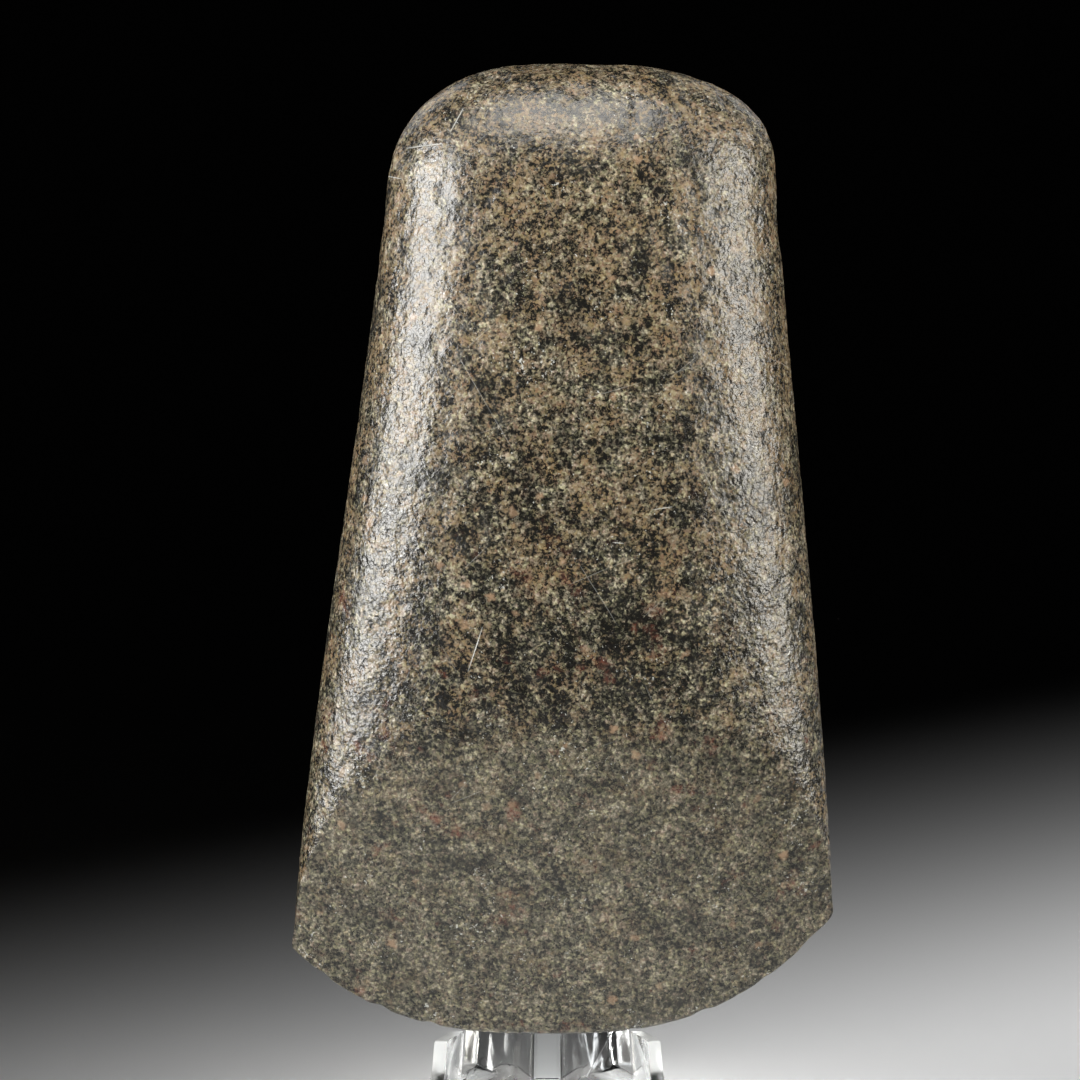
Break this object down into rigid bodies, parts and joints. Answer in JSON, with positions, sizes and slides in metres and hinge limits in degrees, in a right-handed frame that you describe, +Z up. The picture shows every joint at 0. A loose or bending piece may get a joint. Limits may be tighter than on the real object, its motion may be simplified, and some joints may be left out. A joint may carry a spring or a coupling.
{
  "type": "polished stone axe head on a display stand",
  "caption": "Ground and polished speckled stone axe head, standing on its curved cutting edge and leaning back in a small folded clear acrylic stand.",
  "frame": {"origin": "middle of the whole part's footprint box, on the surface that the stand's feet rest on", "axes": "+Z up from the feet to the axe's butt, +X to the right of someone who faces the main face, +Y backwards, the way the axe leans"},
  "size_m": [0.1114, 0.069, 0.2189],
  "materials": {
    "speckled_stone": "ground and polished, near-black green-grey with pale grains and tan patina",
    "clear_acrylic": "clear, polished faces and edges"
  },
  "bodies": {
    "root": {"axe_head": "speckled_stone", "display_stand": "clear_acrylic"}
  },
  "joints": []
}
